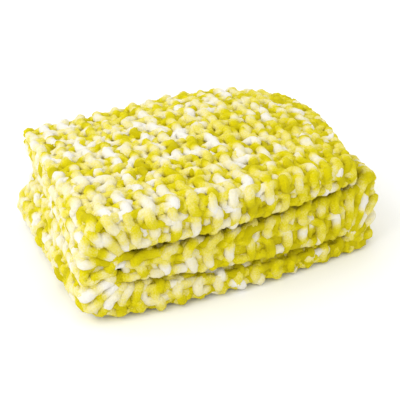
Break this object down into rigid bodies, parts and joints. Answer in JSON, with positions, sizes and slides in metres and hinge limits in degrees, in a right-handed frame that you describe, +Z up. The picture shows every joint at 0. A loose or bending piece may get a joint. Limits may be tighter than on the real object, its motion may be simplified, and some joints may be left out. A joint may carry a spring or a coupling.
{
  "type": "knit throw",
  "caption": "Chunky garter-stitch throw of soft variegated yellow-green and white yarn, folded into a three-tier pack.",
  "frame": {"origin": "middle of the pack's footprint, on the surface it rests on", "axes": "+X along the pack's long side, towards the end where the top tier stops; +Y towards its back; +Z up"},
  "size_m": [0.5366, 0.3762, 0.1927],
  "materials": {
    "yarn": "matte chenille"
  },
  "bodies": {
    "root": {"throw": "yarn"}
  },
  "joints": []
}
